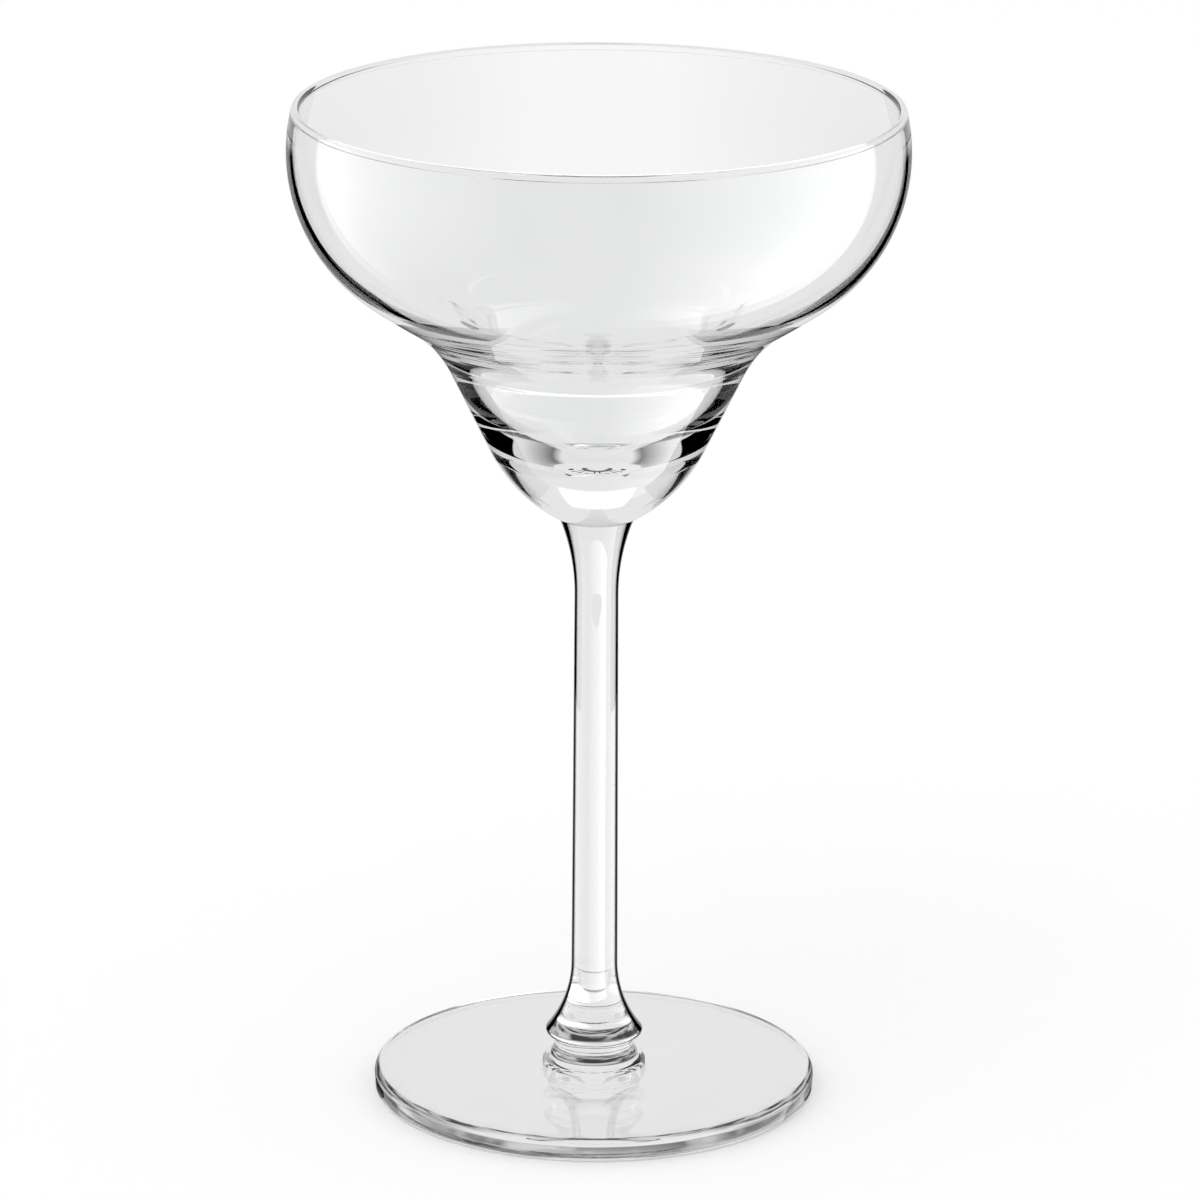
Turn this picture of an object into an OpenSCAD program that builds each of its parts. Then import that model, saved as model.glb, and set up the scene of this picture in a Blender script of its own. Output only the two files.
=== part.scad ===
// Stemmed cocktail glass: a wide stepped bowl with a fire-polished rim,
// a drawn stem that ends in a collar, and a pressed foot with a boss.
// The three are separate pieces of glass, welded face to face.
// Millimetres, +Z up, origin at the middle of the face it stands on.

/* [Bowl outside] */
// Height of the bowl from its weld to the top of the rim
bowl_h = 73.3; // [64:0.1:82]
// Widest outside diameter, at the belly
belly_d = 107.6; // [92:0.1:124]
// Radius of the belly's curve, seen from the side
belly_arc_r = 30.6; // [26:0.1:35]
// Slope of the underside between belly and shoulder, above the horizontal
slope_a = 33.3; // [29:0.1:38]
// Diameter of the shoulder, where the underside and the cup would meet unrounded
shoulder_d = 56.7; // [48:0.1:65]
// Height of that corner above the bowl's weld
cup_h = 32.2; // [28:0.1:37]
// Radius of the hollow round at the shoulder
shoulder_r = 23.2; // [15:0.1:26]
// Half angle of the cup's cone
cone_a = 26; // [22:0.1:30]
// Height above the weld at which the cup's round bottom becomes that cone
round_h = 12.75; // [10:0.05:16]
// Diameter of the weld between stem and bowl
weld_d = 13.2; // [11:0.1:16]

/* [Bowl inside] */
// Wall at the widest part of the belly
wall_t = 1.28; // [1:0.01:2]
// How far the inner belly curve is lifted, which thickens the wall below
wall_lift = 0.56; // [0:0.01:0.9]
// How much thicker than that wall the rounded rim is
rim_extra = 0.2; // [0.1:0.01:0.6]
// Solid glass under the ball-shaped hollow in the cup
base_t = 10.7; // [8:0.1:13]
// Wall of the cup, where that hollow comes nearest to the cone
cup_wall = 4.1; // [3:0.1:5.5]
// Radius of the step between the hollow and the wide bowl
step_r = 7; // [4:0.1:9]

/* [Stem] */
// Length of the stem from weld to weld
stem_l = 95.5; // [60:0.5:140]
// Diameter at the waist, just under the bowl
waist_d = 7.72; // [6.5:0.01:9.5]
// Height of the flare that carries the bowl
waist_flare_h = 13.9; // [10:0.1:18]
// Diameter at the stem's lower end
ankle_d = 8.2; // [7:0.01:10]
// Radius of the flare down to the collar
ankle_flare_r = 19.5; // [15:0.1:24]
// Diameter of the collar
collar_d = 17.2; // [14.5:0.1:20]
// Height of the collar's rounded edge
collar_t = 1.52; // [1:0.01:2]

/* [Foot] */
// Foot diameter
foot_d = 78.3; // [64:0.1:92]
// Thickness of the foot at its edge
foot_t = 4.1; // [3.2:0.1:5]
// Fall of the foot's top from the boss to the edge
foot_a = 1.9; // [0.5:0.1:4]
// Radius round the top of the edge
edge_top_r = 1.3; // [0.8:0.1:1.7]
// Radius round the bottom of the edge
edge_low_r = 1; // [0.5:0.1:1.6]
// Diameter of the boss under the collar
boss_d = 14; // [12:0.1:16]
// Height of the boss above the hollow round at its foot
boss_h = 1.2; // [0.5:0.1:3]
// Radius of that hollow round
boss_fillet_r = 3.6; // [2:0.1:5]
// Width of the flat ring that the glass stands on
ring_w = 2.6; // [2:0.1:5]
// Height of the shallow dome under the foot
dome_h = 0.9; // [0.5:0.1:1.4]

/* [Quality] */
// Facets round the axis
$fn = 96; // [48:8:160]
// Angle between the points on a large round
arc_step = 3; // [2:0.5:6]
// Angle between the points on a small round
bead_step = 12; // [6:1:20]
// Angle between the points on the dome under the foot
dome_step = 0.5; // [0.25:0.25:2]

/* [Hidden] */

glass_colour = [0.86, 0.90, 0.91, 0.55];

weld_r = weld_d / 2;
rim_r = (wall_t + rim_extra) / 2;
waist_r = waist_d / 2;
ankle_r = ankle_d / 2;
collar_r = collar_d / 2;
lip_r = collar_t / 2;
foot_r = foot_d / 2;
boss_r = boss_d / 2;

// Points from angle a0 to angle a1 on a circle round c, without the first,
// which is where the stretch before it ends
function arc(c, r, a0, a1, step) =
    let (n = max(2, ceil(abs(a1 - a0) / step)))
    [for (i = [1:n]) let (a = (a0 * (n - i) + a1 * i) / n) c + r * [cos(a), sin(a)]];

// Direction from one point to another, as an angle from -180 to 180, or from 0 to 360
function angle(from, to) = atan2(to[1] - from[1], to[0] - from[0]);
function turn(from, to) = (angle(from, to) + 360) % 360;

// Where two circles cross, to the left of the way from c1 to c2, or to the right when side is -1
function crossing(c1, r1, c2, r2, side) =
    let (
        d = norm(c2 - c1),
        u = (c2 - c1) / d,
        along = (r1 * r1 - r2 * r2 + d * d) / (2 * d),
        off = sqrt(r1 * r1 - along * along)
    )
    c1 + along * u + side * off * [-u[1], u[0]];

// Foot: the top's fall, the rounds that it touches and the dome underneath
fall_up = [sin(foot_a), cos(foot_a)];
edge_c = [foot_r - edge_top_r, foot_t - edge_top_r];
low_c = [foot_r - edge_low_r, edge_low_r];
fillet_x = boss_r + boss_fillet_r;
fillet_up = (edge_top_r + boss_fillet_r) / fall_up[1] + (edge_c[0] - fillet_x) * tan(foot_a);
fillet_c = [fillet_x, edge_c[1] + fillet_up];
ring_in_r = foot_r - edge_low_r - ring_w;
dome_r = (ring_in_r * ring_in_r + dome_h * dome_h) / (2 * dome_h);
dome_c = [0, dome_h - dome_r];

// Heights of the two welds and of the rim
stem_z = fillet_c[1] + boss_h;
bowl_z = stem_z + stem_l;
total_h = bowl_z + bowl_h;

// Stem: the flares' centres, and the collar's rounded edge that the lower one touches
weld_edge = [weld_r, bowl_z];
waist_flare_r = (waist_flare_h * waist_flare_h / (weld_r - waist_r) + weld_r - waist_r) / 2;
waist_c = [waist_r + waist_flare_r, bowl_z - waist_flare_h];
lip_c = [collar_r - lip_r, stem_z + lip_r];
ankle_x = ankle_r + ankle_flare_r;
ankle_c = [ankle_x, lip_c[1] + sqrt(pow(ankle_flare_r + lip_r, 2) - pow(ankle_x - lip_c[0], 2))];

// Bowl, outside: directions up the cone and up the underside, and their outward normals
cone_dir = [sin(cone_a), cos(cone_a)];
cone_out = [cos(cone_a), -sin(cone_a)];
slope_dir = [cos(slope_a), sin(slope_a)];
slope_out = [sin(slope_a), -cos(slope_a)];

shoulder = [shoulder_d / 2, bowl_z + cup_h];
shoulder_reach = shoulder_r * tan((90 - cone_a - slope_a) / 2);
shoulder_c = shoulder - shoulder_reach * cone_dir + shoulder_r * cone_out;

// The belly's curve touches the underside and reaches the belly's diameter
belly_x = belly_d / 2 - belly_arc_r;
belly_run = (belly_x - shoulder[0] + belly_arc_r * slope_out[0]) / slope_dir[0];
belly_c = [belly_x, shoulder[1] + belly_run * slope_dir[1] - belly_arc_r * slope_out[1]];

// The cup's round bottom starts at the weld and touches the cone
cone_low = shoulder - (cup_h - round_h) / cone_dir[1] * cone_dir;
cup_chord = cone_low - weld_edge;
cup_arc_r = cup_chord * cup_chord / (2 * cup_chord * cone_out);
cup_c = cone_low - cup_arc_r * cone_out;

// The rim's bead touches the outside of the belly's curve
rim_z = total_h - rim_r;
rim_a = asin((rim_z - belly_c[1]) / (belly_arc_r - rim_r));
rim_c = belly_c + (belly_arc_r - rim_r) * [cos(rim_a), sin(rim_a)];

// Bowl, inside: the hollow stands on its solid base and keeps the cup's wall
inner_r = belly_arc_r - wall_t;
inner_c = belly_c + [0, wall_lift];
inner_top = crossing(rim_c, rim_r, inner_c, inner_r, 1);
hollow_r = (shoulder[0] * cone_out[0] + (cup_h - base_t) * cone_out[1] - cup_wall) / (1 + cone_out[1]);
hollow_c = [0, bowl_z + base_t + hollow_r];
step_c = crossing(hollow_c, hollow_r + step_r, inner_c, inner_r + step_r, -1);

module bowl() {
    outline = concat(
        [[0, bowl_z], weld_edge],
        arc(cup_c, cup_arc_r, angle(cup_c, weld_edge), -cone_a, arc_step),
        [shoulder - shoulder_reach * cone_dir],
        arc(shoulder_c, shoulder_r, 180 - cone_a, 90 + slope_a, arc_step),
        [shoulder + belly_run * slope_dir],
        arc(belly_c, belly_arc_r, slope_a - 90, rim_a, arc_step),
        arc(rim_c, rim_r, rim_a, turn(rim_c, inner_top), bead_step),
        arc(inner_c, inner_r, angle(inner_c, inner_top), angle(inner_c, step_c), arc_step),
        arc(step_c, step_r, turn(step_c, inner_c), turn(step_c, hollow_c), arc_step),
        arc(hollow_c, hollow_r, angle(hollow_c, step_c), -90, arc_step)
    );
    color(glass_colour) rotate_extrude() polygon(outline);
}

module stem() {
    outline = concat(
        [[0, stem_z], [lip_c[0], stem_z]],
        arc(lip_c, lip_r, -90, angle(lip_c, ankle_c), bead_step),
        arc(ankle_c, ankle_flare_r, turn(ankle_c, lip_c), 180, arc_step),
        [[waist_r, waist_c[1]]],
        arc(waist_c, waist_flare_r, 180, angle(waist_c, weld_edge), arc_step),
        [[0, bowl_z]]
    );
    color(glass_colour) rotate_extrude() polygon(outline);
}

module foot() {
    outline = concat(
        [[0, dome_h]],
        arc(dome_c, dome_r, 90, angle(dome_c, [ring_in_r, 0]), dome_step),
        [[low_c[0], 0]],
        arc(low_c, edge_low_r, -90, 0, bead_step),
        [[foot_r, edge_c[1]]],
        arc(edge_c, edge_top_r, 0, 90 - foot_a, bead_step),
        [fillet_c - boss_fillet_r * fall_up],
        arc(fillet_c, boss_fillet_r, 270 - foot_a, 180, bead_step),
        [[boss_r, stem_z], [0, stem_z]]
    );
    color(glass_colour) rotate_extrude() polygon(outline);
}

bowl();
stem();
foot();
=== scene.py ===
import math
import bmesh
import bpy
import numpy as np
from mathutils import Euler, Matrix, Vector


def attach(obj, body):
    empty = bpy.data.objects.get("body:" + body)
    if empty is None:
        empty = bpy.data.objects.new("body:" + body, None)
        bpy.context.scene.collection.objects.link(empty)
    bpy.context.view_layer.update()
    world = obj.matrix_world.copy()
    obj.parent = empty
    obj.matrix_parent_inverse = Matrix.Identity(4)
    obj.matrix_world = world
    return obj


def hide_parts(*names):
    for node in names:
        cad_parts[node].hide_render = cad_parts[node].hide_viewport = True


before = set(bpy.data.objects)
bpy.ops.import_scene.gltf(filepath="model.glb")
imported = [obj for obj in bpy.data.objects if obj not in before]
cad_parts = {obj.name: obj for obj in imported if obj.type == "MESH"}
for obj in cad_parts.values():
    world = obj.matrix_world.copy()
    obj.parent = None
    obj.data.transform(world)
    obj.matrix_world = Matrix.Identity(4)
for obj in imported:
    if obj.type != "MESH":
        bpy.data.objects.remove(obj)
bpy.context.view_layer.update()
print("frame loaded:", sorted(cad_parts))

mm = 0.001
roundSteps = 288            # steps round the axis
# Degrees between the points of an arc
arcSteps = {"dome": 0.25, "large": 1.5, "join": 3, "hollow": 6, "edge": 9}
sameWithin = 0.002 * mm     # points closer than this are one
weldWithin = 0.001 * mm     # faces this near to a weld's height are inside it
sharpFrom = 20              # edges that turn more than this many degrees stay sharp


# An outline is drawn in the XZ plane, from vertex to vertex

def direction(degrees):
    return Vector((math.cos(math.radians(degrees)), math.sin(math.radians(degrees))))


def angleTo(start, end):
    return math.degrees(math.atan2(end.y - start.y, end.x - start.x))


def circlesCross(centreA, radiusA, centreB, radiusB, side):
    gap = (centreB - centreA).length
    along = (centreB - centreA) / gap
    reach = (radiusA ** 2 - radiusB ** 2 + gap ** 2) / (2 * gap)
    off = math.sqrt(radiusA ** 2 - reach ** 2)
    return centreA + along * reach + Vector((-along.y, along.x)) * off * side


def startOutline(point):
    shape = bmesh.new()
    shape.verts.new((point.x * mm, 0, point.y * mm))
    return shape


def lineTo(shape, point):
    shape.verts.ensure_lookup_table()
    grown = bmesh.ops.extrude_vert_indiv(shape, verts=[shape.verts[-1]])
    grown["verts"][0].co = (point.x * mm, 0, point.y * mm)


def arcRound(shape, centre, startAngle, endAngle, kind):
    shape.verts.ensure_lookup_table()
    sweep = endAngle - startAngle
    bmesh.ops.spin(shape, geom=[shape.verts[-1]], cent=(centre.x * mm, 0, centre.y * mm), axis=(0, -1, 0),
                   angle=math.radians(sweep), steps=max(2, math.ceil(abs(sweep) / arcSteps[kind])))


# The faces inside a weld get the second material
def turnedPiece(name, shape, weldHeights, node):
    bmesh.ops.spin(shape, geom=shape.verts[:] + shape.edges[:], cent=(0, 0, 0), axis=(0, 0, 1),
                   angle=2 * math.pi, steps=roundSteps, use_merge=True)
    bmesh.ops.remove_doubles(shape, verts=shape.verts, dist=sameWithin)
    bmesh.ops.recalc_face_normals(shape, faces=shape.faces)
    mesh = bpy.data.meshes.new(name)
    shape.to_mesh(mesh)
    shape.free()
    mesh.shade_smooth()
    mesh.set_sharp_from_angle(angle=math.radians(sharpFrom))
    centres = np.empty(len(mesh.polygons) * 3, dtype=np.float32)
    mesh.polygons.foreach_get("center", centres)
    welded = np.zeros(len(mesh.polygons), dtype=np.int32)
    for height in weldHeights:
        welded[abs(centres[2::3] - height * mm) < weldWithin] = 1
    mesh.polygons.foreach_set("material_index", welded)
    piece = bpy.data.objects.new(name, mesh)
    bpy.context.scene.collection.objects.link(piece)
    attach(piece, "root")
    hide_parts(node)
    print(name, "turned with", len(mesh.polygons), "faces")
    return piece


# Sizes in millimetres and degrees, the same as in the part's own source
footSizes = {
    "width": 78.3,
    "edgeThickness": 4.1,
    "topFall": 1.9,             # slope of the top from the boss down to the edge
    "edgeTopRadius": 1.3,
    "edgeLowRadius": 1.0,
    "bossWidth": 14.0,
    "bossHeight": 1.2,
    "bossHollowRadius": 3.6,
    "standingRing": 2.6,
    "domeHeight": 0.9,          # of the hollow underneath
}


def makeFoot(s):
    footR = s["width"] / 2
    bossR = s["bossWidth"] / 2
    up = direction(90 - s["topFall"])
    edgeC = Vector((footR - s["edgeTopRadius"], s["edgeThickness"] - s["edgeTopRadius"]))
    lowC = Vector((footR - s["edgeLowRadius"], s["edgeLowRadius"]))
    hollowX = bossR + s["bossHollowRadius"]
    fall = (edgeC.x - hollowX) * math.tan(math.radians(s["topFall"]))
    rise = (s["edgeTopRadius"] + s["bossHollowRadius"]) / up.y + fall
    hollowC = Vector((hollowX, edgeC.y + rise))
    top = hollowC.y + s["bossHeight"]
    ringR = lowC.x - s["standingRing"]
    domeR = (ringR ** 2 + s["domeHeight"] ** 2) / (2 * s["domeHeight"])
    domeC = Vector((0, s["domeHeight"] - domeR))
    shape = startOutline(Vector((0, s["domeHeight"])))
    arcRound(shape, domeC, 90, angleTo(domeC, Vector((ringR, 0))), "dome")
    lineTo(shape, Vector((lowC.x, 0)))
    arcRound(shape, lowC, -90, 0, "edge")
    lineTo(shape, Vector((footR, edgeC.y)))
    arcRound(shape, edgeC, 0, 90 - s["topFall"], "edge")
    lineTo(shape, hollowC - up * s["bossHollowRadius"])
    arcRound(shape, hollowC, 270 - s["topFall"], 180, "hollow")
    lineTo(shape, Vector((bossR, top)))
    lineTo(shape, Vector((0, top)))
    return turnedPiece("pressedFoot", shape, [top], "foot"), top


stemSizes = {
    "length": 95.5,
    "waistWidth": 7.72,
    "waistFlareHeight": 13.9,
    "ankleWidth": 8.2,
    "ankleFlareRadius": 19.5,
    "collarWidth": 17.2,
    "collarHeight": 1.52,
}


def makeStem(s, bottom, weldR):
    top = bottom + s["length"]
    weldEdge = Vector((weldR, top))
    waistR = s["waistWidth"] / 2
    flareR = (s["waistFlareHeight"] ** 2 / (weldR - waistR) + weldR - waistR) / 2
    waistC = Vector((waistR + flareR, top - s["waistFlareHeight"]))
    lipR = s["collarHeight"] / 2
    lipC = Vector((s["collarWidth"] / 2 - lipR, bottom + lipR))
    ankleX = s["ankleWidth"] / 2 + s["ankleFlareRadius"]
    ankleRise = math.sqrt((s["ankleFlareRadius"] + lipR) ** 2 - (ankleX - lipC.x) ** 2)
    ankleC = Vector((ankleX, lipC.y + ankleRise))
    shape = startOutline(Vector((0, bottom)))
    lineTo(shape, Vector((lipC.x, bottom)))
    arcRound(shape, lipC, -90, angleTo(lipC, ankleC), "edge")
    arcRound(shape, ankleC, angleTo(ankleC, lipC) + 360, 180, "large")
    lineTo(shape, Vector((waistR, waistC.y)))
    arcRound(shape, waistC, 180, angleTo(waistC, weldEdge) % 360, "large")
    lineTo(shape, Vector((0, top)))
    return turnedPiece("drawnStem", shape, [bottom, top], "stem"), top


bowlSizes = {
    "height": 73.3,
    "bellyWidth": 107.6,
    "bellyRadius": 30.6,
    "undersideSlope": 33.3,
    "shoulderWidth": 56.7,
    "cupHeight": 32.2,
    "shoulderRadius": 23.2,
    "coneAngle": 26.0,          # half angle of the cup's cone
    "roundHeight": 12.75,       # where the cup's round bottom becomes that cone
    "weldWidth": 13.2,
    "wall": 1.28,
    "wallLift": 0.56,           # thickens the wall towards the shoulder
    "rimExtra": 0.2,
    "baseThickness": 10.7,
    "cupWall": 4.1,
    "stepRadius": 7.0,
}


def makeBowl(s, bottom):
    top = bottom + s["height"]
    weldEdge = Vector((s["weldWidth"] / 2, bottom))
    coneUp, coneOut = direction(90 - s["coneAngle"]), direction(-s["coneAngle"])
    slopeUp, slopeOut = direction(s["undersideSlope"]), direction(s["undersideSlope"] - 90)
    shoulder = Vector((s["shoulderWidth"] / 2, bottom + s["cupHeight"]))
    reach = s["shoulderRadius"] * math.tan(math.radians(90 - s["coneAngle"] - s["undersideSlope"]) / 2)
    shoulderC = shoulder - coneUp * reach + coneOut * s["shoulderRadius"]
    bellyX = s["bellyWidth"] / 2 - s["bellyRadius"]
    run = (bellyX - shoulder.x + s["bellyRadius"] * slopeOut.x) / slopeUp.x
    bellyC = Vector((bellyX, shoulder.y + run * slopeUp.y - s["bellyRadius"] * slopeOut.y))
    coneLow = shoulder - coneUp * ((s["cupHeight"] - s["roundHeight"]) / coneUp.y)
    chord = coneLow - weldEdge
    cupR = chord.dot(chord) / (2 * chord.dot(coneOut))
    cupC = coneLow - coneOut * cupR
    rimR = (s["wall"] + s["rimExtra"]) / 2
    rimAngle = math.degrees(math.asin((top - rimR - bellyC.y) / (s["bellyRadius"] - rimR)))
    rimC = bellyC + direction(rimAngle) * (s["bellyRadius"] - rimR)
    innerR = s["bellyRadius"] - s["wall"]
    innerC = bellyC + Vector((0, s["wallLift"]))
    innerTop = circlesCross(rimC, rimR, innerC, innerR, 1)
    toCone = shoulder.x * coneOut.x + (s["cupHeight"] - s["baseThickness"]) * coneOut.y
    hollowR = (toCone - s["cupWall"]) / (1 + coneOut.y)
    hollowC = Vector((0, bottom + s["baseThickness"] + hollowR))
    stepC = circlesCross(hollowC, hollowR + s["stepRadius"], innerC, innerR + s["stepRadius"], -1)
    shape = startOutline(Vector((0, bottom)))
    lineTo(shape, weldEdge)
    arcRound(shape, cupC, angleTo(cupC, weldEdge), -s["coneAngle"], "large")
    lineTo(shape, shoulder - coneUp * reach)
    arcRound(shape, shoulderC, 180 - s["coneAngle"], 90 + s["undersideSlope"], "large")
    lineTo(shape, shoulder + slopeUp * run)
    arcRound(shape, bellyC, s["undersideSlope"] - 90, rimAngle, "large")
    arcRound(shape, rimC, rimAngle, angleTo(rimC, innerTop) % 360, "edge")
    arcRound(shape, innerC, angleTo(innerC, innerTop), angleTo(innerC, stepC), "large")
    arcRound(shape, stepC, angleTo(stepC, innerC) % 360, angleTo(stepC, hollowC) % 360, "join")
    arcRound(shape, hollowC, angleTo(hollowC, stepC), -90, "large")
    return turnedPiece("blownBowl", shape, [bottom], "bowl"), top


foot, footTop = makeFoot(footSizes)
stem, stemTop = makeStem(stemSizes, footTop, bowlSizes["weldWidth"] / 2)
bowl, rimTop = makeBowl(bowlSizes, stemTop)
print("glass stands", round(rimTop, 1), "mm high")


# Nodes

def connect(tree, source, target):
    tree.links.new(source, target)


def addNode(tree, kind, **values):
    node = tree.nodes.new(kind)
    for name, value in values.items():
        setattr(node, name, value)
    return node


# A value is a number or another node's output
def feed(tree, socket, value):
    if hasattr(value, "links"):
        connect(tree, value, socket)
    else:
        socket.default_value = value


def mathNode(tree, operation, *values):
    node = addNode(tree, "ShaderNodeMath", operation=operation)
    for socket, value in zip(node.inputs, values):
        feed(tree, socket, value)
    return node.outputs[0]


def rangeNode(tree, value, low, high, toLow=0.0, toHigh=1.0):
    node = addNode(tree, "ShaderNodeMapRange")
    connect(tree, value, node.inputs["Value"])
    for name, number in zip(("From Min", "From Max", "To Min", "To Max"), (low, high, toLow, toHigh)):
        node.inputs[name].default_value = number
    return node.outputs["Result"]


def product(tree, values):
    result = values[0]
    for value in values[1:]:
        result = mathNode(tree, "MULTIPLY", result, value)
    return result


# 1 from low to high and 0 outside, with soft edges
def windowNode(tree, value, low, high, soft):
    rising = rangeNode(tree, value, low - soft, low + soft)
    falling = rangeNode(tree, value, high - soft, high + soft, 1.0, 0.0)
    return product(tree, [rising, falling])


def noiseNode(tree, place, size):
    noise = addNode(tree, "ShaderNodeTexNoise")
    connect(tree, place, noise.inputs["Vector"])
    feed(tree, noise.inputs["Scale"], size)
    return noise


def objectPlace(tree):
    return addNode(tree, "ShaderNodeTexCoord").outputs["Object"]


def splitAxes(tree, vector):
    split = addNode(tree, "ShaderNodeSeparateXYZ")
    connect(tree, vector, split.inputs[0])
    return split.outputs


def glowNode(tree, strength):
    glow = addNode(tree, "ShaderNodeEmission")
    feed(tree, glow.inputs["Strength"], strength)
    return glow


def mixShaders(tree, share, first, second):
    mix = addNode(tree, "ShaderNodeMixShader")
    connect(tree, share, mix.inputs[0])
    connect(tree, first.outputs[0], mix.inputs[1])
    connect(tree, second.outputs[0], mix.inputs[2])
    return mix


def addShaders(tree, first, second):
    both = addNode(tree, "ShaderNodeAddShader")
    connect(tree, first.outputs[0], both.inputs[0])
    connect(tree, second.outputs[0], both.inputs[1])
    return both


def setSurface(tree, shader):
    connect(tree, shader.outputs[0], tree.nodes["Material Output"].inputs["Surface"])


def emptyMaterial(name):
    material = bpy.data.materials.new(name)
    material.use_nodes = True
    tree = material.node_tree
    tree.nodes.remove(tree.nodes["Principled BSDF"])
    return material, tree


# Kinds of rays, by how often they have been mirrored and how often they have gone through a surface.
# Both counts are whole numbers, so each test stands half way between two of them
def rayKinds(tree):
    path = addNode(tree, "ShaderNodeLightPath")
    mirrors = path.outputs["Glossy Depth"]
    passes = path.outputs["Transmission Depth"]
    mirrored = mathNode(tree, "GREATER_THAN", mirrors, 0.5)
    twice = mathNode(tree, "GREATER_THAN", mirrors, 1.5)
    caught = mathNode(tree, "GREATER_THAN", mirrors, 4.5)
    entered = mathNode(tree, "GREATER_THAN", passes, 0.5)
    throughMore = mathNode(tree, "GREATER_THAN", passes, 3.5)
    once = mathNode(tree, "SUBTRACT", mirrored, twice)
    straight = mathNode(tree, "SUBTRACT", 1.0, mirrored)
    outside = mathNode(tree, "SUBTRACT", 1.0, entered)
    throughLess = mathNode(tree, "SUBTRACT", 1.0, throughMore)
    return {
        "once": once,
        "onceOutside": product(tree, [once, outside]),
        "onceInside": product(tree, [once, entered]),
        "onceMore": product(tree, [once, throughMore]),
        "fewTimes": product(tree, [mirrored, mathNode(tree, "LESS_THAN", mirrors, 3.5), throughLess]),
        "twice": product(tree, [twice, entered, mathNode(tree, "LESS_THAN", mirrors, 4.5)]),
        "justTwice": product(tree, [twice, throughMore, mathNode(tree, "LESS_THAN", mirrors, 2.5)]),
        "caught": caught,
        "caughtInFront": product(tree, [caught, mathNode(tree, "LESS_THAN", passes, 1.5)]),
        "through": product(tree, [entered, straight]),
        "throughMore": product(tree, [throughMore, straight]),
        "plain": mathNode(tree, "MAXIMUM", path.outputs["Is Camera Ray"], path.outputs["Is Diffuse Ray"]),
    }


# Glass

glassFinish = {
    "tint": (0.994, 0.997, 0.997, 1),
    "tintThick": (0.980, 0.986, 0.986, 1),   # where the melt is a little less clear
    "cloudSize": 30.0,               # clouds of that tint, per metre
    "cloudRange": (0.35, 0.7),       # noise values from one tint to the other
    "index": 1.52,
    "waveSize": 60.0,                # waves left by blowing and pressing, per metre
    "waveHeight": 0.010 * mm,
    "rimFrom": 172.9 * mm,           # above this height caught light is painted black, as shade for the rim's thin dark lines
    "ringWear": 0.15,                # roughness of the worn ring that it stands on
    "wearHeight": 0.25 * mm,         # how far up from the table the wear goes
    "scratchSize": 900.0,            # scratches in the wear, per metre
    "scratchRange": (0.3, 0.7),
    "streakSize": 220.0,             # painted streaks of light and shade at the pressed foot's edge, per metre
    "streakFlatness": 9.0,           # how much longer they are than high
    "streakFrom": (15 * mm, 22 * mm),   # how far out they fade in
    "streakRange": (0.42, 0.58),
    "streakLight": (0.03, 0.7),      # light let out at the darkest and at the palest streak
}
# Painted shade: the glass's colour darkens to black where it turns this far from the eye, from 0 face on
# to 1 edge on
paintedEdgeShade = {
    "bowl": (0.86, 0.97),
    "stem": (0.44, 0.56),
    "foot": (0.90, 0.99),
}
# A ray that has been mirrored more often than this inside a piece is let out
turnsInside = {"bowl": 4.5, "stem": 4.5, "foot": 2.5}


# Slow waves in the surface, faint clouds in the colour, and the wear on the ring it stands on
def makeGlassWork(finish):
    group = bpy.data.node_groups.new("glassWork", "ShaderNodeTree")
    for name, kind, way in (("Wave Size", "Float", "INPUT"), ("Wave Height", "Float", "INPUT"),
                            ("Cloud Size", "Float", "INPUT"), ("Tint", "Color", "INPUT"),
                            ("Thick Tint", "Color", "INPUT"), ("Wear", "Float", "INPUT"),
                            ("Tint", "Color", "OUTPUT"), ("Wear", "Float", "OUTPUT"),
                            ("Waves", "Vector", "OUTPUT")):
        group.interface.new_socket(name, in_out=way, socket_type="NodeSocket" + kind)
    given = addNode(group, "NodeGroupInput")
    result = addNode(group, "NodeGroupOutput")
    place = objectPlace(group)
    waves = noiseNode(group, place, given.outputs["Wave Size"])
    waves.inputs["Detail"].default_value = 1.0
    bump = addNode(group, "ShaderNodeBump")
    connect(group, waves.outputs["Fac"], bump.inputs["Height"])
    connect(group, given.outputs["Wave Height"], bump.inputs["Distance"])
    connect(group, bump.outputs["Normal"], result.inputs["Waves"])
    clouds = noiseNode(group, place, given.outputs["Cloud Size"])
    clouds.inputs["Detail"].default_value = 2.0
    tint = addNode(group, "ShaderNodeMix", data_type="RGBA")
    connect(group, rangeNode(group, clouds.outputs["Fac"], *finish["cloudRange"]), tint.inputs["Factor"])
    connect(group, given.outputs["Tint"], tint.inputs["A"])
    connect(group, given.outputs["Thick Tint"], tint.inputs["B"])
    connect(group, tint.outputs["Result"], result.inputs["Tint"])
    low = rangeNode(group, splitAxes(group, place)["Z"], 0.0, finish["wearHeight"], 1.0, 0.0)
    scratches = noiseNode(group, place, finish["scratchSize"]).outputs["Fac"]
    worn = rangeNode(group, scratches, *finish["scratchRange"])
    connect(group, product(group, [low, worn, given.outputs["Wear"]]), result.inputs["Wear"])
    return group
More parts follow.
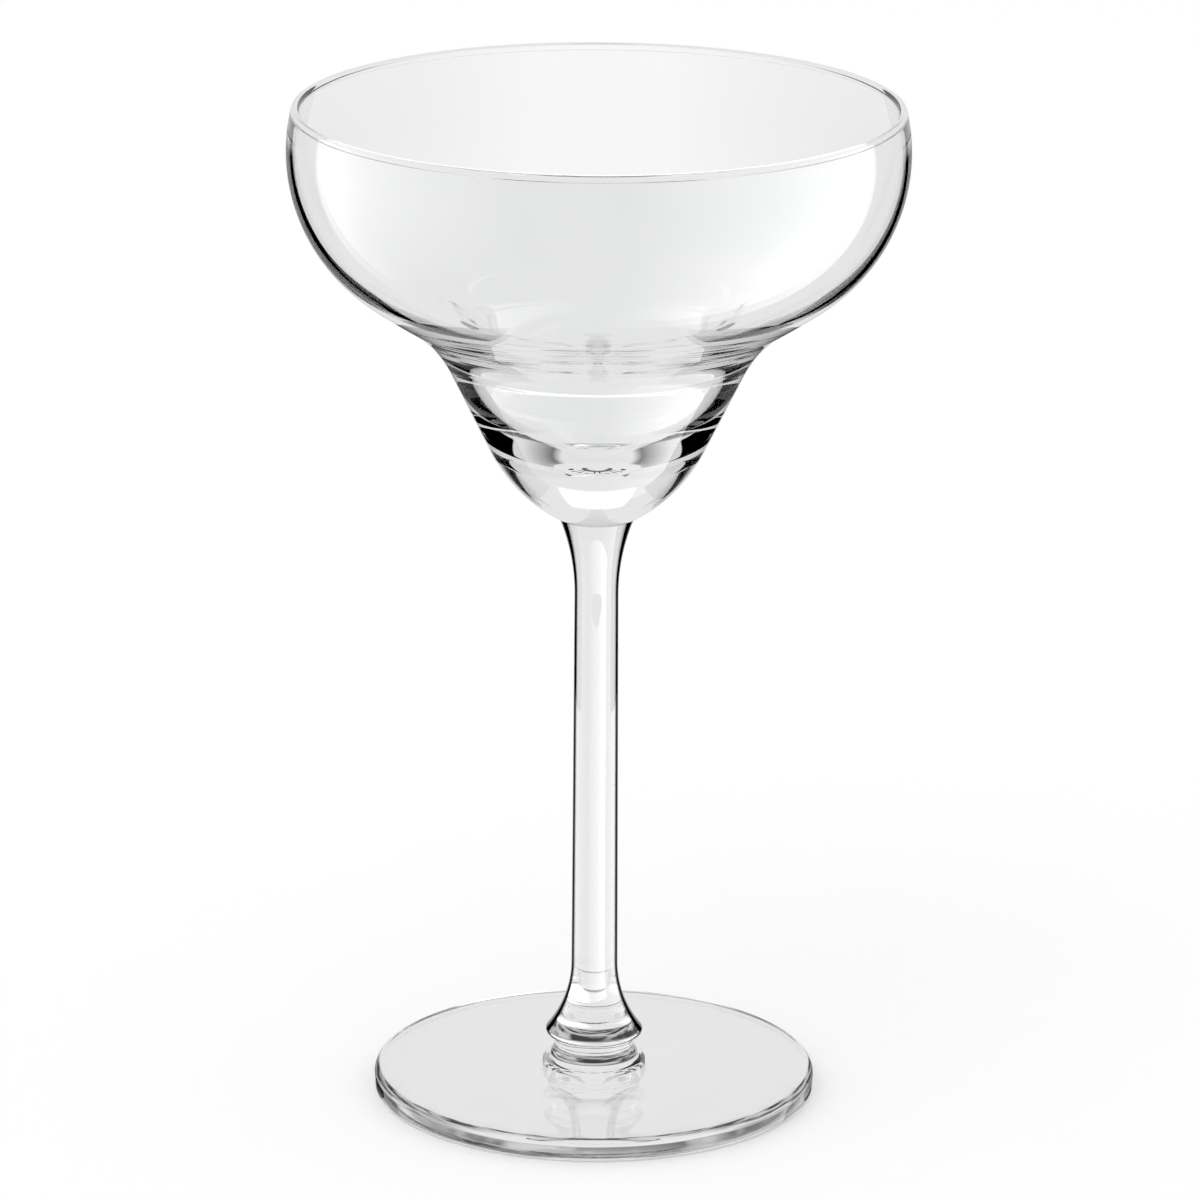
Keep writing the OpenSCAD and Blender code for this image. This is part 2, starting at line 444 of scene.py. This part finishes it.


# Painted light and shade: what is let out of the foot is painted with fine flat streaks, which show at its
# edge
def paintedStreakShading(tree, place, finish):
    flat = addNode(tree, "ShaderNodeVectorMath", operation="MULTIPLY")
    connect(tree, place, flat.inputs[0])
    flat.inputs[1].default_value = (1, 1, finish["streakFlatness"])
    streaks = noiseNode(tree, flat.outputs[0], finish["streakSize"]).outputs["Fac"]
    fromBoss = addNode(tree, "ShaderNodeVectorMath", operation="LENGTH")
    connect(tree, place, fromBoss.inputs[0])
    outer = rangeNode(tree, fromBoss.outputs["Value"], *finish["streakFrom"])
    streak = rangeNode(tree, streaks, *finish["streakRange"], *finish["streakLight"])
    inner = mathNode(tree, "SUBTRACT", 1.0, outer)
    return mathNode(tree, "ADD", mathNode(tree, "MULTIPLY", outer, streak), inner)


# Painted shade: near the rim, light that is let out stays black if it has gone in only once, which draws
# the rim's thin dark lines
def paintedRimShade(tree, place, passes, finish):
    belowRim = mathNode(tree, "LESS_THAN", splitAxes(tree, place)["Z"], finish["rimFrom"])
    throughWall = mathNode(tree, "GREATER_THAN", passes, 1.5)
    return mathNode(tree, "MAXIMUM", belowRim, throughWall)


def makeGlass(node, finish, work):
    material = bpy.data.materials.new(node + "Glass")
    material.use_nodes = True
    tree = material.node_tree
    shader = tree.nodes["Principled BSDF"]
    shader.inputs["Roughness"].default_value = 0
    shader.inputs["IOR"].default_value = finish["index"]
    shader.inputs["Transmission Weight"].default_value = 1
    surface = addNode(tree, "ShaderNodeGroup", node_tree=work)
    for socket, value in (("Wave Size", "waveSize"), ("Wave Height", "waveHeight"),
                          ("Cloud Size", "cloudSize"), ("Tint", "tint"),
                          ("Thick Tint", "tintThick"), ("Wear", "ringWear")):
        surface.inputs[socket].default_value = finish[value]
    # Painted shade: towards the outline the glass's colour goes to black, which draws its dark edges
    turned = addNode(tree, "ShaderNodeLayerWeight")
    turned.inputs["Blend"].default_value = 0.5
    shaded = addNode(tree, "ShaderNodeMix", data_type="RGBA")
    connect(tree, rangeNode(tree, turned.outputs["Facing"], *paintedEdgeShade[node]), shaded.inputs["Factor"])
    connect(tree, surface.outputs["Tint"], shaded.inputs["A"])
    shaded.inputs["B"].default_value = (0, 0, 0, 1)
    connect(tree, shaded.outputs["Result"], shader.inputs["Base Color"])
    connect(tree, surface.outputs["Waves"], shader.inputs["Normal"])
    # A ray that is caught inside is let out after a few turns, so no black patches are left
    path = addNode(tree, "ShaderNodeLightPath")
    clear = addNode(tree, "ShaderNodeBsdfTransparent")
    place = objectPlace(tree)
    if node == "foot":
        connect(tree, surface.outputs["Wear"], shader.inputs["Roughness"])
        # Painted light and shade: the light let out at the foot's edge is streaked
        connect(tree, paintedStreakShading(tree, place, finish), clear.inputs["Color"])
    else:
        # Painted shade: near the rim the light let out is black, for the rim's thin dark lines
        passes = path.outputs["Transmission Depth"]
        connect(tree, paintedRimShade(tree, place, passes, finish), clear.inputs["Color"])
    caught = mathNode(tree, "GREATER_THAN", path.outputs["Glossy Depth"], turnsInside[node])
    setSurface(tree, mixShaders(tree, caught, shader, clear))
    return material


# A weld has no surface inside it
def makeWeld():
    material, tree = emptyMaterial("weldInside")
    setSurface(tree, addNode(tree, "ShaderNodeBsdfTransparent"))
    return material


glassWork = makeGlassWork(glassFinish)
weldInside = makeWeld()
for piece, node in ((foot, "foot"), (stem, "stem"), (bowl, "bowl")):
    piece.data.materials.append(makeGlass(node, glassFinish, glassWork))
    piece.data.materials.append(weldInside)
print("glass made")


# The studio is one even white tent. Angles are in degrees: aside runs from straight behind the glass
# round to the camera at 180, rise is up from level

surround = 0.8
tentSoft = (1.0, 1.5)       # soft edges of the tent's parts, sideways and up
softBoxes = {
    "left": {"side": -1, "edge": 54.5, "fade": (68, 148), "rise": (-52, -12), "light": 1.6},
    "right": {"side": 1, "edge": 59.0, "fade": (98, 168), "rise": (-90, -45), "light": 2.0},
}
softBoxSoft = 1             # half the width of the edge where a soft box starts
softBoxTop = (12, 25)       # where they fade out upwards
# Parts of the tent that only some of the light through the glass shows: how bright, and where
tentParts = {
    "lampAbove": {"aside": (-5, 18), "rise": (26, 62), "light": 1.25, "rays": "through"},
    "cardsAbove": {"aside": (20, 50), "rise": (28, 50), "light": 0.15, "rays": "throughMore"},
    "wallEdge": {"aside": (37, 66), "rise": (-62, -12), "light": 0.0, "rays": "caughtInFront"},
    "wallFront": {"aside": (144, 185), "rise": (25, 58), "light": 0.0, "rays": "caughtInFront"},
    "rimFront": {"aside": (117, 185), "rise": (-52, -31), "light": 0.0, "rays": "onceMore"},
    "rimLow": {"aside": (140, 185), "rise": (-40, -20), "light": 0.0, "rays": "caught"},
    "rimTop": {"aside": (-5, 30), "rise": (-80, -51.5), "light": 0.0, "rays": "throughMore"},
    "cupBack": {"aside": (-5, 20), "rise": (12, 42), "light": 0.0, "rays": "justTwice"},
}
# Light that has been mirrored inside the glass: how bright the tent's sides are, round from the back
sideLight = {
    "rise": (-12, 40),
    "steps": ((0, 0.8), (40, 0.8), (50, 0.15), (80, 0.75), (91, 0.8), (92, 0.0), (126, 0.0), (127, 0.8)),
}


def makeWorld():
    world = bpy.data.worlds.new("studio")
    bpy.context.scene.world = world
    world.use_nodes = True
    tree = world.node_tree
    background = tree.nodes["Background"]
    x, y, z = splitAxes(tree, addNode(tree, "ShaderNodeTexCoord").outputs["Generated"])
    degrees = math.degrees(1)
    turn = mathNode(tree, "MULTIPLY", mathNode(tree, "ARCTAN2", x, y), degrees)
    aside = mathNode(tree, "ABSOLUTE", turn)
    rise = mathNode(tree, "MULTIPLY", mathNode(tree, "ARCSINE", z), degrees)
    rays = rayKinds(tree)
    light = addNode(tree, "ShaderNodeValue").outputs[0]
    light.default_value = surround
    for box in softBoxes.values():
        out = mathNode(tree, "MULTIPLY", turn, float(box["side"]))
        begins = rangeNode(tree, out, box["edge"] - softBoxSoft, box["edge"] + softBoxSoft)
        ends = rangeNode(tree, out, *box["fade"], 1.0, 0.0)
        low = rangeNode(tree, rise, *box["rise"])
        high = rangeNode(tree, rise, *softBoxTop, 1.0, 0.0)
        shape = product(tree, [rays["once"], begins, ends, low, high])
        light = mathNode(tree, "ADD", light, mathNode(tree, "MULTIPLY", shape, box["light"]))
    for part in tentParts.values():
        shape = product(tree, [rays[part["rays"]], windowNode(tree, aside, *part["aside"], tentSoft[0]),
                               windowNode(tree, rise, *part["rise"], tentSoft[1])])
        light = mathNode(tree, "ADD", light, mathNode(tree, "MULTIPLY", shape, part["light"] - surround))
    ramp = addNode(tree, "ShaderNodeValToRGB")
    elements = ramp.color_ramp.elements
    while len(elements) < len(sideLight["steps"]):
        elements.new(1.0)
    for element, (angle, level) in zip(elements, sideLight["steps"]):
        element.position = angle / 180
        element.color = (level, level, level, 1)
    connect(tree, mathNode(tree, "DIVIDE", aside, 180.0), ramp.inputs[0])
    shape = product(tree, [rays["twice"], windowNode(tree, rise, *sideLight["rise"], tentSoft[1])])
    change = mathNode(tree, "MULTIPLY", shape, mathNode(tree, "SUBTRACT", ramp.outputs[0], surround))
    light = mathNode(tree, "ADD", light, change)
    # The camera and the floor see plain white
    connect(tree, mathNode(tree, "MAXIMUM", light, rays["plain"]), background.inputs["Strength"])
    background.inputs["Color"].default_value = (1, 1, 1, 1)


def stageObject(name, shape):
    mesh = bpy.data.meshes.new(name)
    shape.to_mesh(mesh)
    shape.free()
    thing = bpy.data.objects.new(name, mesh)
    bpy.context.scene.collection.objects.link(thing)
    return thing


# Only the glass sees it
def hideFromCamera(thing):
    thing.visible_camera = False
    thing.visible_diffuse = False
    thing.visible_shadow = False


# A flat panel that faces along X or Y, where both its ends are the same
def makePanel(name, low, high, side):
    shape = bmesh.new()
    bmesh.ops.create_grid(shape, x_segments=1, y_segments=1, size=0.5)
    facesCamera = low[1] == high[1]
    turn = Euler((math.pi / 2, 0, 0)) if facesCamera else Euler((0, math.pi / 2, 0))
    bmesh.ops.rotate(shape, verts=shape.verts, cent=(0, 0, 0), matrix=turn.to_matrix())
    bmesh.ops.scale(shape, verts=shape.verts, vec=[max(b - a, 1) * mm for a, b in zip(low, high)])
    centre = [(a + b) / 2 * mm for a, b in zip(low, high)]
    bmesh.ops.translate(shape, verts=shape.verts, vec=(centre[0] * side, centre[1], centre[2]))
    panel = stageObject(name, shape)
    hideFromCamera(panel)
    return panel


# A screen hidden from the camera, just inside the bowl's wall where there is only air, glows for light
# mirrored once. It keeps the wall's reflections even and adds a painted reflection, brighter towards its
# middle. Sizes in mm
innerScreen = {
    "bottom": 148,
    "bottomRadius": 41,
    "bend": 166,
    "radius": 50.2,
    "top": 180,
    "steps": 96,
    "light": 3.3,
    "dimFrom": 10,              # its light fades out sideways
    "dimTo": 47,
}


def makeInnerScreen(s):
    shape = bmesh.new()
    bands = ((s["bottom"], s["bend"], s["bottomRadius"]), (s["bend"], s["top"], s["radius"]))
    for low, high, lowRadius in bands:
        part = bmesh.ops.create_cone(shape, cap_ends=False, segments=s["steps"], radius1=lowRadius * mm,
                                     radius2=s["radius"] * mm, depth=(high - low) * mm)
        bmesh.ops.translate(shape, verts=part["verts"], vec=(0, 0, (high + low) / 2 * mm))
    screen = stageObject("innerScreen", shape)
    hideFromCamera(screen)
    material, tree = emptyMaterial("innerScreen")
    rays = rayKinds(tree)
    sideways = mathNode(tree, "ABSOLUTE", splitAxes(tree, objectPlace(tree))["X"])
    # Painted reflection: extra glow towards the middle, for light mirrored once that has not gone into the
    # glass
    extra = rangeNode(tree, sideways, s["dimFrom"] * mm, s["dimTo"] * mm, s["light"], 0.0)
    streak = mathNode(tree, "MULTIPLY", extra, rays["onceOutside"])
    glow = glowNode(tree, mathNode(tree, "ADD", streak, surround))
    hole = addNode(tree, "ShaderNodeBsdfTransparent")
    setSurface(tree, mixShaders(tree, rays["once"], hole, glow))
    screen.data.materials.append(material)


# Black cards stand on both sides, out of the picture. They draw the dark edges of the glass.
# Each has its least and greatest x, y and z in mm on the right side, and the rays that see it
cards = {
    "mirrorCard": {"low": (72, 120, -60), "high": (132, 120, 150), "rays": "onceOutside"},
    "edgeCard": {"low": (64, 120, 37), "high": (106, 120, 150), "rays": "onceInside"},
    "cupCard": {"low": (36, -8, 60), "high": (36, 60, 137), "rays": "fewTimes"},
}


def makeBlack(name, rays):
    material, tree = emptyMaterial(name)
    hole = addNode(tree, "ShaderNodeBsdfTransparent")
    setSurface(tree, mixShaders(tree, rayKinds(tree)[rays], hole, glowNode(tree, 0)))
    return material


# A lit panel beside the camera that the stem mirrors as a white streak
streakPanel = {"low": (-97, -120, -45), "high": (153, -120, 50), "light": 4.9, "fullFrom": 81}


# It adds its light to the tent's, more towards its right end, and only the stem sees it
def makeStreak(s):
    panel = makePanel("streakPanel", s["low"], s["high"], 1)
    seenBy = bpy.data.collections.new("streakSeenBy")
    seenBy.objects.link(stem)
    panel.light_linking.receiver_collection = seenBy
    material, tree = emptyMaterial("streakPanel")
    across = splitAxes(tree, objectPlace(tree))["X"]
    ramp = rangeNode(tree, across, s["low"][0] * mm, s["fullFrom"] * mm, 0.0, s["light"])
    glow = glowNode(tree, mathNode(tree, "MULTIPLY", ramp, rayKinds(tree)["onceOutside"]))
    setSurface(tree, addShaders(tree, addNode(tree, "ShaderNodeBsdfTransparent"), glow))
    panel.data.materials.append(material)


makeWorld()
makeInnerScreen(innerScreen)
for cardName, card in cards.items():
    black = makeBlack(cardName, card["rays"])
    for sideName, side in (("Left", -1), ("Right", 1)):
        makePanel(cardName + sideName, card["low"], card["high"], side).data.materials.append(black)
makeStreak(streakPanel)
print("studio made")


# The floor is pale and renders white. Light through the glass sees the tent in its place
floorFinish = {"width": 8000, "below": 0.02, "colour": (0.86, 0.86, 0.86, 1), "glow": 0.14}


def makeFloor(s):
    shape = bmesh.new()
    bmesh.ops.create_grid(shape, x_segments=1, y_segments=1, size=s["width"] / 2 * mm)
    bmesh.ops.translate(shape, verts=shape.verts, vec=(0, 0, -s["below"] * mm))
    ground = stageObject("floor", shape)
    material, tree = emptyMaterial("floor")
    matt = addNode(tree, "ShaderNodeBsdfDiffuse")
    matt.inputs["Color"].default_value = s["colour"]
    pale = addShaders(tree, matt, glowNode(tree, s["glow"]))
    path = addNode(tree, "ShaderNodeLightPath")
    byGlass = mathNode(tree, "MAXIMUM", path.outputs["Is Glossy Ray"], path.outputs["Is Transmission Ray"])
    setSurface(tree, mixShaders(tree, byGlass, pale, addNode(tree, "ShaderNodeBsdfTransparent")))
    ground.data.materials.append(material)


# A wide lamp up on the left gives the soft shadow. The glass doesn't show it
lamp = {"place": (-500, -700, 1500), "width": 1200, "power": 2.0}


def makeLamp(s):
    light = bpy.data.lights.new("softLamp", "AREA")
    light.shape = "DISK"
    light.size = s["width"] * mm
    light.energy = s["power"]
    lampObject = bpy.data.objects.new("softLamp", light)
    bpy.context.scene.collection.objects.link(lampObject)
    lampObject.location = [value * mm for value in s["place"]]
    lampObject.rotation_euler = lampObject.location.to_track_quat("Z", "Y").to_euler()
    lampObject.visible_glossy = False
    lampObject.visible_transmission = False


makeFloor(floorFinish)
makeLamp(lamp)
print("floor and lamp made")


# The photograph's angle: place in mm, pitch in degrees down, roll in radians
cameraView = {
    "place": (0.62, -1170.06, 440.17),
    "pitch": 16.652,
    "roll": 0.0057,
    "lens": 209.2,
    "sensor": 36,
}


def makeCamera(s):
    camera = bpy.data.objects.new("camera", bpy.data.cameras.new("camera"))
    bpy.context.scene.collection.objects.link(camera)
    bpy.context.scene.camera = camera
    camera.data.lens = s["lens"]
    camera.data.sensor_width = s["sensor"]
    camera.rotation_mode = "ZYX"
    camera.rotation_euler = (math.radians(90 - s["pitch"]), 0, s["roll"])
    camera.location = [value * mm for value in s["place"]]


makeCamera(cameraView)
bpy.context.scene.view_settings.view_transform = "Standard"
print("camera set")
